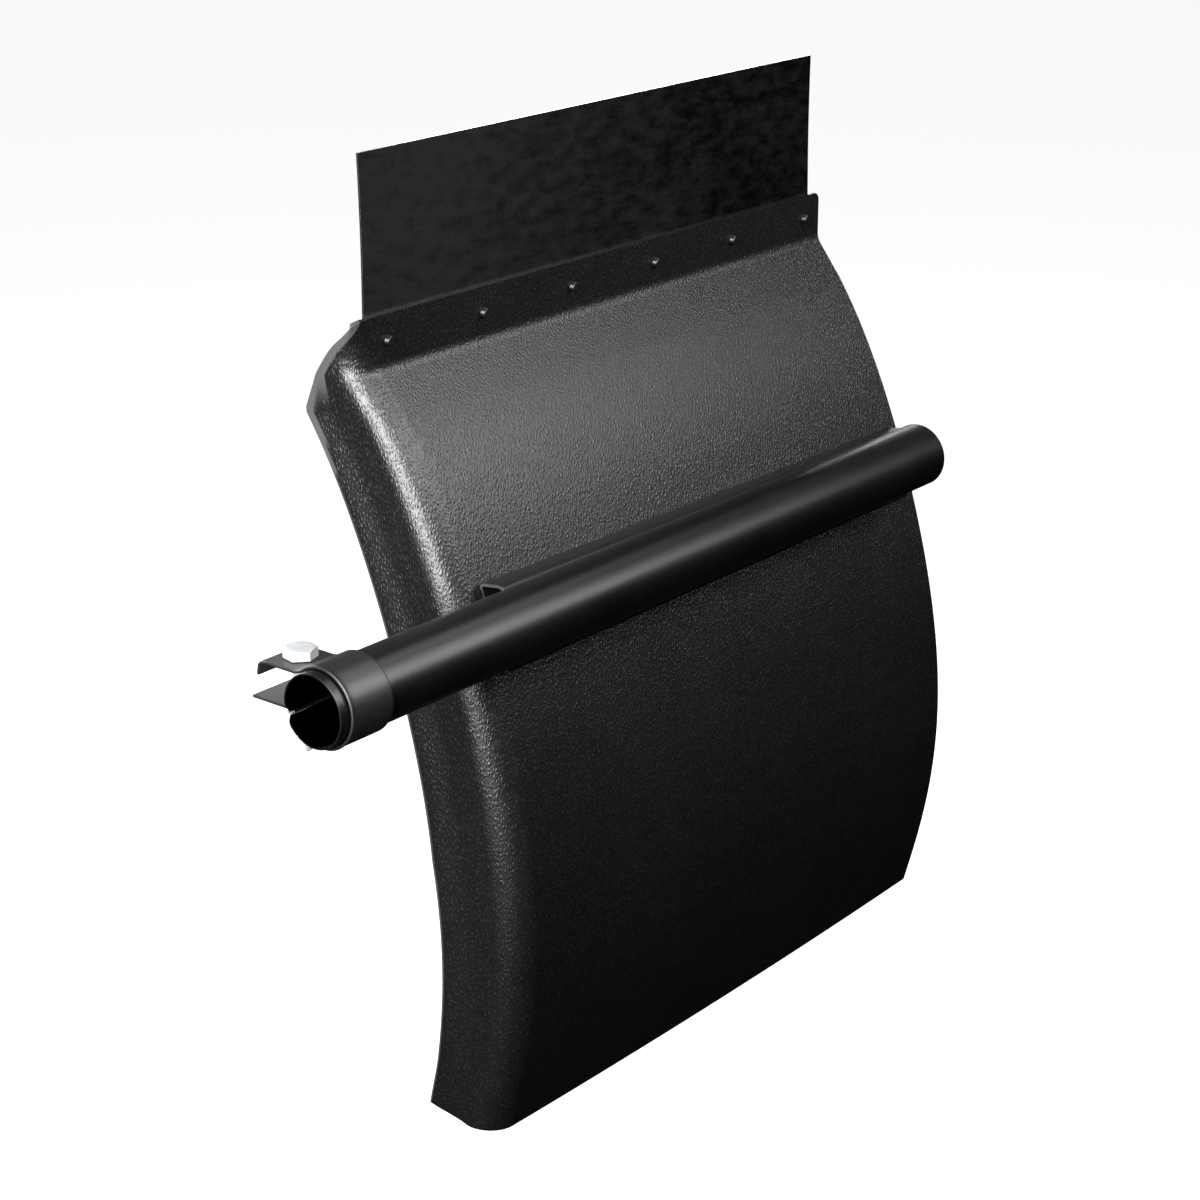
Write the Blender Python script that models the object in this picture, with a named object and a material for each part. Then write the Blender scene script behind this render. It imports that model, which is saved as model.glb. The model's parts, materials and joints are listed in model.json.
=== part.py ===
"""Quarter-fender mud flap: curved poly panel, rubber top flap and the round arm it hangs from.

Frame: X runs along the mounting tube from its open end, Y points back towards the
tyre, Z is up.  The origin is the centre of the tube's open end.  Metres throughout.
"""
import math

import bmesh
import bpy
from mathutils import Matrix, Vector

GAP = 0.0003

# mounting tube
TUBE_R = 0.0281
TUBE_WALL = 0.0022
TUBE_LEN = 0.7695
TUBE_SIDES = 48
SLOT_W = 0.003
SLOT_Z = -0.008
SLOT_LEN = 0.052

# curved panel
PANEL_X0 = 0.206
PANEL_X1 = 0.816
PANEL_T = 0.004
PANEL_BOTTOM = -0.451
FLANGE_Y = 0.1476
FLANGE_TOP = 0.2125
CREASE_Z = 0.1665
CREASE_R = 0.010
SWEEP = (-0.0035, 0.0141, 0.1548, -0.0372, -0.0699, 0.0735)
SWEEP_MID = -0.250
SWEEP_HALF = 0.400
CROWN = 0.0044
CROWN_FROM = -0.062
WALL_DEPTH = 0.0855
WALL_DEPTH_LOW = 0.0675
WALL_TAPER_FROM = -0.220
WALL_TOP_Y = 0.2045
WALL_TOP_Z = 0.1415
WALL_TOP_POWER = 1.57
WALL_TOP_SLOPE = 0.6
WALL_FOOT_RISE = 0.0095
WALL_FOOT_BLEND = 0.060
CORNER_R_FLANGE = 0.008
CORNER_R_BODY = 0.027

# top flap
FLAP_X0 = 0.2192
FLAP_X1 = 0.8045
FLAP_T = 0.0018
FLAP_TOP = 0.3382
FLAP_LOW = 0.1710
FLAP_FOLD_Z = 0.2138
FLAP_Y = FLANGE_Y + PANEL_T + GAP

# push rivets through flange and flap
RIVET_X0 = 0.240
RIVET_STEP = 0.1106
RIVET_COUNT = 6
RIVET_Z = 0.1915
RIVET_SHANK_R = 0.0030
RIVET_TAIL_R = 0.0040
RIVET_TAIL_LEN = 0.0045
RIVET_HEAD_R = 0.0080
RIVET_HEAD_H = 0.0024

# channel between tube and panel
CHANNEL_X0 = 0.2385
CHANNEL_X1 = 0.7990
CHANNEL_T = 0.0025
CHANNEL_TOP = 0.0142
CHANNEL_FALL = 0.0058
CHANNEL_CANT = 0.0040
CHANNEL_BOTTOM = -0.0540
CHANNEL_FOOT_LOW = -0.0140
CHANNEL_WEB_Y = TUBE_R + GAP

# bolts that hold the foot of the channel to the panel
PANEL_BOLT_X0 = 0.278
PANEL_BOLT_STEP = 0.1204
PANEL_BOLT_COUNT = 5
PANEL_BOLT_Z = -0.0020
PANEL_BOLT_R = 0.0032
PANEL_BOLT_HOLE_R = 0.0037
PANEL_HEAD_R = 0.0072
PANEL_HEAD_H = 0.0036
PANEL_WASHER_R = 0.0110
PANEL_WASHER_T = 0.0016
PANEL_NUT_AF = 0.0111
PANEL_NUT_H = 0.0054

# clamp on the open end of the tube
CLAMP_X0 = 0.0085
CLAMP_X1 = 0.0500
CLAMP_T = 0.0024
CLAMP_R = TUBE_R + GAP + CLAMP_T / 2
LOWER_EAR_Z = -0.0083
LOWER_EAR_TIP = 0.0690
UPPER_EAR_Z = 0.0206
UPPER_EAR_TIP = 0.0605
UPPER_EAR_LIP = 0.0098
UPPER_EAR_FLAT = 0.0530
UPPER_EAR_DIP = 0.0015
CLAMP_BOLT_X = 0.0300
CLAMP_BOLT_Y = 0.0402
CLAMP_BOLT_R = 0.00635
CLAMP_HOLE_R = 0.0070
CLAMP_BOLT_END = -0.0487
CLAMP_HEAD_AF = 0.0220
CLAMP_HEAD_H = 0.0079
CLAMP_NUT_H = 0.0111
FLAT_WASHER_R = 0.0104
FLAT_WASHER_T = 0.0025
LOCK_WASHER_R = 0.0098
LOCK_WASHER_T = 0.0032
LOCK_WASHER_RISE = 0.0028
WASHER_BORE_R = CLAMP_BOLT_R + 0.0005


def clear_scene():
    for old in list(bpy.data.objects):
        bpy.data.objects.remove(old, do_unlink=True)


def material(name, rgb, metallic, roughness):
    mat = bpy.data.materials.new(name)
    mat.use_nodes = True
    shader = mat.node_tree.nodes["Principled BSDF"]
    shader.inputs["Base Color"].default_value = (*rgb, 1.0)
    shader.inputs["Metallic"].default_value = metallic
    shader.inputs["Roughness"].default_value = roughness
    mat.diffuse_color = (*rgb, 1.0)
    return mat


def add_object(name, bm, look, origin=(0.0, 0.0, 0.0)):
    bmesh.ops.recalc_face_normals(bm, faces=bm.faces)
    mesh = bpy.data.meshes.new(name)
    shift = Vector(origin)
    for vert in bm.verts:
        vert.co -= shift
    bm.to_mesh(mesh)
    bm.free()
    obj = bpy.data.objects.new(name, mesh)
    obj.location = shift
    bpy.context.scene.collection.objects.link(obj)
    mesh.materials.append(material(name + "_look", *look))
    return obj


def cutter(name, bm):
    bmesh.ops.recalc_face_normals(bm, faces=bm.faces)
    mesh = bpy.data.meshes.new(name)
    bm.to_mesh(mesh)
    bm.free()
    obj = bpy.data.objects.new(name, mesh)
    bpy.context.scene.collection.objects.link(obj)
    obj.hide_render = True
    obj.display_type = "WIRE"
    return obj


def cut(obj, tool):
    mod = obj.modifiers.new("cut", "BOOLEAN")
    mod.operation = "DIFFERENCE"
    mod.solver = "EXACT"
    mod.object = tool


def loft(bm, rings, closed=False):
    """Skin rings of equal length; the first and last rings are capped unless closed."""
    rows = [[bm.verts.new(p) for p in ring] for ring in rings]
    count = len(rows[0])
    pairs = list(zip(rows, rows[1:]))
    if closed:
        pairs.append((rows[-1], rows[0]))
    for low, high in pairs:
        for i in range(count):
            j = (i + 1) % count
            bm.faces.new((low[i], low[j], high[j], high[i]))
    if not closed:
        bm.faces.new(rows[0])
        bm.faces.new(rows[-1])


def round_ring(centre, axis, radius, along, count=24, phase=0.0, flats=0.0):
    """Ring about an axis letter; flats > 0 makes it a hexagon that wide across flats."""
    ring = []
    for i in range(count):
        a = 2 * math.pi * i / count
        r = radius
        if flats:
            r = flats / 2 / math.cos((a % (math.pi / 3)) - math.pi / 6)
        u = r * math.cos(a + phase)
        v = r * math.sin(a + phase)
        offset = {"X": (along, u, v), "Y": (u, along, v), "Z": (u, v, along)}[axis]
        ring.append(Vector(centre) + Vector(offset))
    return ring


def turned(centre, axis, steps, count=24, phase=0.0):
    """Solid of stacked rings: each step is (distance, radius, flats)."""
    bm = bmesh.new()
    rings = [round_ring(centre, axis, r, d, count, phase, f) for d, r, f in steps]
    loft(bm, rings)
    return bm


def hollow(centre, axis, steps, count=24, phase=0.0):
    bm = bmesh.new()
    rings = [round_ring(centre, axis, r, d, count, phase, f) for d, r, f in steps]
    loft(bm, rings, closed=True)
    return bm


def box(bm, low, high):
    size = Vector(high) - Vector(low)
    made = bmesh.ops.create_cube(bm, size=1.0)["verts"]
    bmesh.ops.scale(bm, vec=size, verts=made)
    bmesh.ops.translate(bm, vec=(Vector(low) + Vector(high)) / 2, verts=made)


def drill(bm, centre, axis, radius, start, end, count=16):
    loft(bm, [round_ring(centre, axis, radius, d, count) for d in (start, end)])


def extrude_x(outline, x0, x1):
    bm = bmesh.new()
    loft(bm, [[Vector((x, y, z)) for y, z in outline] for x in (x0, x1)])
    return bm


def filleted(points, steps=5):
    """Round the corners of a (y, z, radius) path."""
    path = [Vector(points[0][:2])]
    for before, here, after in zip(points, points[1:], points[2:]):
        p = Vector(here[:2])
        back = (Vector(before[:2]) - p).normalized()
        ahead = (Vector(after[:2]) - p).normalized()
        half = math.acos(max(-1.0, min(1.0, back.dot(ahead)))) / 2
        if here[2] <= 0 or abs(half - math.pi / 2) < 1e-4:
            path.append(p)
            continue
        reach = here[2] / math.tan(half)
        middle = p + (back + ahead).normalized() * here[2] / math.sin(half)
        a = p + back * reach - middle
        b = p + ahead * reach - middle
        turn = a.angle_signed(b)
        for i in range(steps + 1):
            c = math.cos(-turn * i / steps)
            s = math.sin(-turn * i / steps)
            path.append(middle + Vector((a.x * c - a.y * s, a.x * s + a.y * c)))
    path.append(Vector(points[-1][:2]))
    return path


def strip_outline(path, thickness):
    """Closed outline of a bent strip of sheet about its centre line."""
    left = []
    right = []
    for i, p in enumerate(path):
        a = path[max(i - 1, 0)]
        b = path[min(i + 1, len(path) - 1)]
        into = (p - a).normalized() if i else (b - p).normalized()
        out = (b - p).normalized() if i < len(path) - 1 else into
        mean = (into + out).normalized()
        side = Vector((-mean.y, mean.x))
        reach = thickness / 2 / max(mean.dot(into), 0.3)
        left.append(p + side * reach)
        right.append(p - side * reach)
    return left + right[::-1]


def sweep_y(z):
    u = (z - SWEEP_MID) / SWEEP_HALF
    return sum(c * u**k for k, c in enumerate(SWEEP))


def smooth(t):
    t = max(0.0, min(1.0, t))
    return t * t * (3 - 2 * t)


def panel_slope(z):
    return (sweep_y(z + 0.002) - sweep_y(z - 0.002)) / 0.004


def panel_rows():
    """Outer face of the panel as (y, z) from the flange top down to the lower edge."""
    below = CREASE_Z - 0.030
    path = filleted([(FLANGE_Y, FLANGE_TOP, 0), (FLANGE_Y, CREASE_Z + 0.003, CREASE_R),
                     (sweep_y(below), below, 0)], 4)
    step = (path[1].y - FLANGE_TOP) / 5
    rows = [(FLANGE_Y, FLANGE_TOP + step * i) for i in range(5)]
    rows += [(p.x, p.y) for p in path[1:-1]]
    count = 30
    for i in range(count + 1):
        z = below + (PANEL_BOTTOM - below) * i / count
        rows.append((sweep_y(z), z))
    return rows


def wall_rear(y, z):
    low = max(0.0, (WALL_TAPER_FROM - z) / (WALL_TAPER_FROM - PANEL_BOTTOM))
    rear = y + WALL_DEPTH + (WALL_DEPTH_LOW - WALL_DEPTH) * low
    if z > WALL_TOP_Z:
        t = (z - WALL_TOP_Z) / (FLANGE_TOP - WALL_TOP_Z)
        rear = FLANGE_Y + (WALL_TOP_Y - FLANGE_Y) * (1 - t**WALL_TOP_POWER)
    return max(min(rear, WALL_TOP_Y), y + 0.009)


def panel_section(y, z):
    """One level of the panel in plan, from the plain right edge round to the wall."""
    rear = wall_rear(y, z)
    grow = smooth((CREASE_Z - z) / 0.070)
    radius = CORNER_R_FLANGE + (CORNER_R_BODY - CORNER_R_FLANGE) * grow
    radius = min(radius, 0.62 * (rear - y))
    crown = CROWN * smooth((CROWN_FROM - z) / (CROWN_FROM - PANEL_BOTTOM))
    points = []
    flat = PANEL_X1 - PANEL_X0 - radius
    for i in range(9):
        t = i / 8
        bow = crown * (1 - (2 * t - 1) ** 2)
        points.append(Vector((PANEL_X1 - flat * t, y - bow, z)))
    drop = WALL_TOP_SLOPE * smooth((z - FLANGE_TOP) / 0.008 + 1)
    for i in range(1, 7):
        a = math.pi / 2 * i / 6
        back = radius - radius * math.cos(a)
        points.append(Vector((PANEL_X0 + radius - radius * math.sin(a), y + back, z - drop * back)))
    rise = WALL_FOOT_RISE * smooth((PANEL_BOTTOM - z) / WALL_FOOT_BLEND + 1)
    for t in (0.35, 0.7, 1.0):
        back = radius + (rear - y - radius) * t
        points.append(Vector((PANEL_X0, y + back, z - drop * back + rise * t)))
    return points


def make_panel():
    grid = [panel_section(y, z) for y, z in panel_rows()]
    rows = len(grid)
    cols = len(grid[0])
    inner = []
    for r in range(rows):
        line = []
        for c in range(cols):
            across = grid[r][min(c + 1, cols - 1)] - grid[r][max(c - 1, 0)]
            down = grid[min(r + 1, rows - 1)][c] - grid[max(r - 1, 0)][c]
            line.append(grid[r][c] - across.cross(down).normalized() * PANEL_T)
        inner.append(line)
    for c in range(cols):
        inner[0][c].z = grid[0][c].z
        inner[-1][c].z = grid[-1][c].z
    for r in range(rows):
        inner[r][0].x = grid[r][0].x
    bm = bmesh.new()
    skin = [[bm.verts.new(p) for p in line] for line in grid]
    back = [[bm.verts.new(p) for p in line] for line in inner]
    for r in range(rows - 1):
        for c in range(cols - 1):
            bm.faces.new((skin[r][c], skin[r][c + 1], skin[r + 1][c + 1], skin[r + 1][c]))
            bm.faces.new((back[r][c], back[r + 1][c], back[r + 1][c + 1], back[r][c + 1]))
    for r in range(rows - 1):
        for c in (0, cols - 1):
            bm.faces.new((skin[r][c], skin[r + 1][c], back[r + 1][c], back[r][c]))
    for c in range(cols - 1):
        for r in (0, rows - 1):
            bm.faces.new((skin[r][c], back[r][c], back[r][c + 1], skin[r][c + 1]))
    return add_object("fender_panel", bm, ((0.03, 0.03, 0.03), 0.0, 0.55))


def rivet_places():
    return [RIVET_X0 + RIVET_STEP * i for i in range(RIVET_COUNT)]


def panel_bolt_places():
    return [PANEL_BOLT_X0 + PANEL_BOLT_STEP * i for i in range(PANEL_BOLT_COUNT)]


def tilt(bm, x):
    """Turn a part modelled along Y square to the panel face where the bolts go."""
    pivot = (x, sweep_y(PANEL_BOLT_Z), PANEL_BOLT_Z)
    turn = Matrix.Rotation(-math.atan(panel_slope(PANEL_BOLT_Z)), 3, "X")
    bmesh.ops.rotate(bm, cent=pivot, matrix=turn, verts=bm.verts)


def panel_bolt_drill(bm):
    for x in panel_bolt_places():
        hole = bmesh.new()
        drill(hole, (x, sweep_y(PANEL_BOLT_Z), PANEL_BOLT_Z), "Y", PANEL_BOLT_HOLE_R, -0.009, 0.010, 12)
        tilt(hole, x)
        merge(bm, hole)


def merge(bm, other):
    carrier = bpy.data.meshes.new("carrier")
    other.to_mesh(carrier)
    other.free()
    bm.from_mesh(carrier)
    bpy.data.meshes.remove(carrier)


def rivet_drill(bm):
    for x in rivet_places():
        drill(bm, (x, 0, RIVET_Z), "Y", RIVET_SHANK_R + GAP, FLANGE_Y - 0.004, FLANGE_Y + 0.014, 12)


def make_flap(rubber):
    root = bmesh.new()
    box(root, (FLAP_X0, FLAP_Y, FLAP_LOW),
        (FLAP_X1, FLAP_Y + FLAP_T, FLAP_FOLD_Z - FLAP_T / 2 - 0.0004))
    root = add_object("flap_root", root, rubber)
    holes = bmesh.new()
    rivet_drill(holes)
    cut(root, cutter("flap_holes", holes))
    fold_y = FLAP_Y + FLAP_T / 2
    outline = []
    for i in range(9):
        a = math.pi * i / 8
        outline.append((fold_y - FLAP_T / 2 * math.cos(a), FLAP_FOLD_Z - FLAP_T / 2 * math.sin(a)))
    outline += [(FLAP_Y + FLAP_T, FLAP_TOP), (FLAP_Y, FLAP_TOP)]
    add_object("flap_blade", extrude_x(outline, FLAP_X0, FLAP_X1), rubber, (0, fold_y, FLAP_FOLD_Z))


def make_rivets(nylon):
    back = FLAP_Y + FLAP_T + GAP
    front = FLANGE_Y - GAP
    for i, x in enumerate(rivet_places()):
        steps = [(front - RIVET_TAIL_LEN, RIVET_TAIL_R * 0.8, 0),
                 (front - RIVET_TAIL_LEN + 0.0008, RIVET_TAIL_R, 0),
                 (front, RIVET_TAIL_R, 0),
                 (front, RIVET_SHANK_R, 0),
                 (back, RIVET_SHANK_R, 0),
                 (back, RIVET_HEAD_R, 0),
                 (back + 0.0010, RIVET_HEAD_R, 0),
                 (back + RIVET_HEAD_H, RIVET_HEAD_R * 0.55, 0)]
        add_object(f"push_rivet_{i + 1}", turned((x, 0, RIVET_Z), "Y", steps, 16), nylon)


def channel_outline(top):
    """Section of the channel: foot on the panel, canted top, upright web, short heel below."""
    web = CHANNEL_WEB_Y + CHANNEL_T / 2
    half = CHANNEL_T / 2
    lean = math.cos(math.atan(panel_slope(PANEL_BOLT_Z)))
    off = (half + GAP + 0.0002) / lean
    rear = top - half
    low = CHANNEL_BOTTOM + half
    path = filleted([(sweep_y(CHANNEL_FOOT_LOW) - off, CHANNEL_FOOT_LOW, 0),
                     (sweep_y(rear) - off, rear, 0.0028),
                     (web, rear + CHANNEL_CANT, 0.005),
                     (web, low, 0.0022),
                     (sweep_y(CHANNEL_BOTTOM) - 0.0006, low, 0)])
    return strip_outline(path, CHANNEL_T)


def make_channel(black):
    bm = bmesh.new()
    ends = ((CHANNEL_X0, CHANNEL_TOP), (CHANNEL_X1, CHANNEL_TOP - CHANNEL_FALL))
    loft(bm, [[Vector((x, y, z)) for y, z in channel_outline(top)] for x, top in ends])
    channel = add_object("bracket_channel", bm, black)
    holes = bmesh.new()
    panel_bolt_drill(holes)
    cut(channel, cutter("channel_holes", holes))


def make_panel_bolts(zinc):
    y = sweep_y(PANEL_BOLT_Z)
    washer = PANEL_T + GAP + 0.0001
    head = washer + PANEL_WASHER_T + GAP
    nut = -(CHANNEL_T + 2 * GAP + 0.0003)
    for i, x in enumerate(panel_bolt_places()):
        at = (x, y, PANEL_BOLT_Z)
        steps = [(nut - PANEL_NUT_H - 0.0018, PANEL_BOLT_R * 0.8, 0),
                 (nut - PANEL_NUT_H - 0.0011, PANEL_BOLT_R, 0),
                 (head, PANEL_BOLT_R, 0),
                 (head, PANEL_HEAD_R, 0),
                 (head + 0.0010, PANEL_HEAD_R, 0),
                 (head + 0.0028, PANEL_HEAD_R * 0.72, 0),
                 (head + PANEL_HEAD_H, PANEL_HEAD_R * 0.30, 0)]
        bolt = turned(at, "Y", steps, 16)
        tilt(bolt, x)
        add_object(f"panel_bolt_{i + 1}", bolt, zinc)
        inner = PANEL_BOLT_R + GAP
        ring = hollow(at, "Y", [(washer, inner, 0), (washer, PANEL_WASHER_R, 0),
                                (washer + PANEL_WASHER_T, PANEL_WASHER_R, 0),
                                (washer + PANEL_WASHER_T, inner, 0)], 20)
        tilt(ring, x)
        add_object(f"panel_washer_{i + 1}", ring, zinc)
        grip = hollow(at, "Y", [(nut, inner, 0), (nut, 0, PANEL_NUT_AF),
                                (nut - PANEL_NUT_H, 0, PANEL_NUT_AF),
                                (nut - PANEL_NUT_H, inner, 0)], 12)
        tilt(grip, x)
        add_object(f"panel_nut_{i + 1}", grip, zinc)


def make_tube(black):
    inner = TUBE_R - TUBE_WALL
    tube = hollow((0, 0, 0), "X", [(0, inner, 0), (0, TUBE_R, 0), (TUBE_LEN, TUBE_R, 0),
                                   (TUBE_LEN, inner, 0)], TUBE_SIDES)
    tube = add_object("mounting_tube", tube, black)
    slot = bmesh.new()
    box(slot, (-0.01, 0.015, SLOT_Z - SLOT_W / 2), (SLOT_LEN, 0.04, SLOT_Z + SLOT_W / 2))
    cut(tube, cutter("tube_slot", slot))


def arc_point(degrees):
    a = math.radians(degrees)
    return Vector((CLAMP_R * math.cos(a), CLAMP_R * math.sin(a)))


def bezier(a, b, c, steps=5):
    points = []
    for i in range(steps + 1):
        t = i / steps
        points.append(a * (1 - t) ** 2 + b * 2 * t * (1 - t) + c * t * t)
    return points


def make_clamp(black):
    corner_y = math.sqrt(CLAMP_R**2 - UPPER_EAR_Z**2)
    path = filleted([(UPPER_EAR_TIP + 0.002, UPPER_EAR_LIP, 0),
                     (UPPER_EAR_TIP, UPPER_EAR_Z - UPPER_EAR_DIP, 0.004),
                     (UPPER_EAR_FLAT, UPPER_EAR_Z, 0.008),
                     (corner_y + 0.0070, UPPER_EAR_Z, 0)])
    path += bezier(path.pop(), Vector((corner_y, UPPER_EAR_Z)), arc_point(54))
    path += [arc_point(58 + 8 * i) for i in range(35)]
    corner_y = math.sqrt(CLAMP_R**2 - LOWER_EAR_Z**2)
    corner = Vector((corner_y, LOWER_EAR_Z))
    path += bezier(arc_point(338), corner, corner + Vector((0.0012, 0)))
    path += [Vector((LOWER_EAR_TIP, LOWER_EAR_Z))]
    band = add_object("clamp_band", extrude_x(strip_outline(path, CLAMP_T), CLAMP_X0, CLAMP_X1), black)
    holes = bmesh.new()
    drill(holes, (CLAMP_BOLT_X, CLAMP_BOLT_Y, 0), "Z", CLAMP_HOLE_R, -0.03, 0.04, 20)
    cut(band, cutter("clamp_holes", holes))


def make_clamp_bolt(zinc):
    at = (CLAMP_BOLT_X, CLAMP_BOLT_Y, 0)
    phase = math.radians(18)
    seat = UPPER_EAR_Z + CLAMP_T / 2 + GAP
    steps = [(CLAMP_BOLT_END, CLAMP_BOLT_R * 0.82, 0),
             (CLAMP_BOLT_END + 0.0014, CLAMP_BOLT_R, 0),
             (seat, CLAMP_BOLT_R, 0),
             (seat, 0, CLAMP_HEAD_AF),
             (seat + CLAMP_HEAD_H - 0.0012, 0, CLAMP_HEAD_AF),
             (seat + CLAMP_HEAD_H, CLAMP_HEAD_AF * 0.46, 0)]
    add_object("clamp_bolt", turned(at, "Z", steps, 24, phase), zinc)
    bore = WASHER_BORE_R
    top = LOWER_EAR_Z - CLAMP_T / 2 - GAP
    low = top - FLAT_WASHER_T
    ring = hollow(at, "Z", [(top, bore, 0), (top, FLAT_WASHER_R, 0), (low, FLAT_WASHER_R, 0),
                            (low, bore, 0)], 32)
    add_object("clamp_flat_washer", ring, zinc, at)
    top = low - GAP
    low = top - LOCK_WASHER_T
    spring = bmesh.new()
    rings = []
    for i in range(29):
        a = math.radians(100 + 348 * i / 28)
        out = Vector((math.cos(a), math.sin(a), 0))
        centre = Vector(at) - Vector((0, 0, LOCK_WASHER_RISE * i / 28))
        rings.append([centre + out * r + Vector((0, 0, z))
                      for r, z in ((bore, top), (LOCK_WASHER_R, top), (LOCK_WASHER_R, low), (bore, low))])
    loft(spring, rings)
    add_object("clamp_lock_washer", spring, zinc, at)
    top = low - LOCK_WASHER_RISE - GAP
    low = top - CLAMP_NUT_H
    nut = hollow(at, "Z", [(top, CLAMP_BOLT_R + GAP, 0), (top, CLAMP_HEAD_AF * 0.47, 0),
                           (top - 0.0010, 0, CLAMP_HEAD_AF), (low + 0.0010, 0, CLAMP_HEAD_AF),
                           (low, CLAMP_HEAD_AF * 0.47, 0), (low, CLAMP_BOLT_R + GAP, 0)],
                 24, math.radians(40))
    add_object("clamp_nut", nut, zinc, at)


def main():
    clear_scene()
    black = ((0.02, 0.02, 0.02), 0.3, 0.4)
    zinc = ((0.75, 0.76, 0.78), 1.0, 0.3)
    rubber = ((0.025, 0.025, 0.025), 0.0, 0.7)
    nylon = ((0.02, 0.02, 0.02), 0.0, 0.45)
    panel = make_panel()
    holes = bmesh.new()
    rivet_drill(holes)
    panel_bolt_drill(holes)
    cut(panel, cutter("panel_holes", holes))
    make_flap(rubber)
    make_rivets(nylon)
    make_channel(black)
    make_panel_bolts(zinc)
    make_tube(black)
    make_clamp(black)
    make_clamp_bolt(zinc)


main()
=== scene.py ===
# %% [markdown]
# # Quarter-fender mud flap
# This lesson builds the looks of a truck's quarter fender: a moulded plastic panel with a
# grained face, a thin flap riveted behind its top flange, and a black steel arm with a clamp on
# its open end.  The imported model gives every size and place, so each piece is made where it
# belongs and nothing has to be fitted afterwards.

# %% Load the frame
import json
import math

import bmesh
import bpy
from mathutils import Matrix, Quaternion, Vector


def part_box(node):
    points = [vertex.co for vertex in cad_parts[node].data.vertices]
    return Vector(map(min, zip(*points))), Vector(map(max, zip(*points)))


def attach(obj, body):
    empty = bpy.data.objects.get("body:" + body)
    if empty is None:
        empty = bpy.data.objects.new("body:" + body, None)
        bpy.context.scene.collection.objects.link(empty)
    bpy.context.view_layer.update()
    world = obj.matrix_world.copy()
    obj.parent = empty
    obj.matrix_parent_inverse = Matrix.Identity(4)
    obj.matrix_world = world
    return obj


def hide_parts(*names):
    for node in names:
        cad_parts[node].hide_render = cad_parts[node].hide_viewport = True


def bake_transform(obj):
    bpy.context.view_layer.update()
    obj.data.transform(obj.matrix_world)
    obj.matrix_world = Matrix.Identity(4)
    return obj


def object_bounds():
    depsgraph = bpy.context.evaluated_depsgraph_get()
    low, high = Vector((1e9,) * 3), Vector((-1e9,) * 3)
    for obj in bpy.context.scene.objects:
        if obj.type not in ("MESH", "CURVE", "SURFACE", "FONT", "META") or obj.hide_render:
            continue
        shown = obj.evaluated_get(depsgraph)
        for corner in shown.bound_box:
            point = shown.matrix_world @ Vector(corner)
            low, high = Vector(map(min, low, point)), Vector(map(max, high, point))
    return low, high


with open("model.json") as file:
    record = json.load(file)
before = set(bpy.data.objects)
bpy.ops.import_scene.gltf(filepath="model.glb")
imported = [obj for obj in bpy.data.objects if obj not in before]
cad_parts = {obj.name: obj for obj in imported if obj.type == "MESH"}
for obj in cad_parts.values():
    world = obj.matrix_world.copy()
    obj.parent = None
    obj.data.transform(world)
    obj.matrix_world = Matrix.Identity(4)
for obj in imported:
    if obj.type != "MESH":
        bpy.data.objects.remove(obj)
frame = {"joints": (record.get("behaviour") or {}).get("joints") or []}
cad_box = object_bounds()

scene = bpy.context.scene
JOINTS = {joint["name"]: joint for joint in frame["joints"]}
print("CAD box", [tuple(round(v, 4) for v in corner) for corner in cad_box])

# %% [markdown]
# ## Camera
# The camera stands to the left of the flap, a little above it, and looks at it with a long lens
# so that the tube hardly narrows towards its far end.  It could be aimed with a constraint, but
# two angles and a trace of roll say the same thing without another object.

# %% Camera
CAMERA_PLACE = Vector((-1.1982, -1.2381, 0.7180))
CAMERA_TURN = math.radians(50.72)
CAMERA_DROP = math.radians(20.38)
CAMERA_ROLL = math.radians(0.207)
ahead = Vector((math.sin(CAMERA_TURN) * math.cos(CAMERA_DROP),
                math.cos(CAMERA_TURN) * math.cos(CAMERA_DROP),
                -math.sin(CAMERA_DROP)))
camera = bpy.data.objects.new("camera", bpy.data.cameras.new("camera"))
scene.collection.objects.link(camera)
camera.data.sensor_width = 36.0
camera.data.lens = 80.25
camera.location = CAMERA_PLACE
camera.rotation_mode = "QUATERNION"
camera.rotation_quaternion = Quaternion(ahead, CAMERA_ROLL) @ ahead.to_track_quat("-Z", "Y")
scene.camera = camera
print("camera looks along", [round(v, 3) for v in ahead])

# %% [markdown]
# ## Light and floor
# Black plastic and black paint show almost nothing of their own colour: what is seen is the
# lamps in them.  So the room is a few large soft boxes, and the floor and the white
# surroundings are kept out of the reflections with their ray visibility.  A bright all-round
# world would be simpler, and would turn every black surface grey.
#
# `left_box` and `low_box` draw the bright line down the panel's rounded corner, `front_box` and
# `right_box` the sheen along the top of the tube, and `rear_box` opens up the back.

# %% Room
scene.view_settings.view_transform = "Standard"
world = bpy.data.worlds.new("studio")
scene.world = world
world.use_nodes = True
surround = world.node_tree.nodes["Background"]
surround.inputs["Color"].default_value = (1.0, 1.0, 1.0, 1.0)
surround.inputs["Strength"].default_value = 1.0
world.cycles_visibility.diffuse = False
world.cycles_visibility.glossy = False
FLOOR_DROP = 0.30


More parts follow.
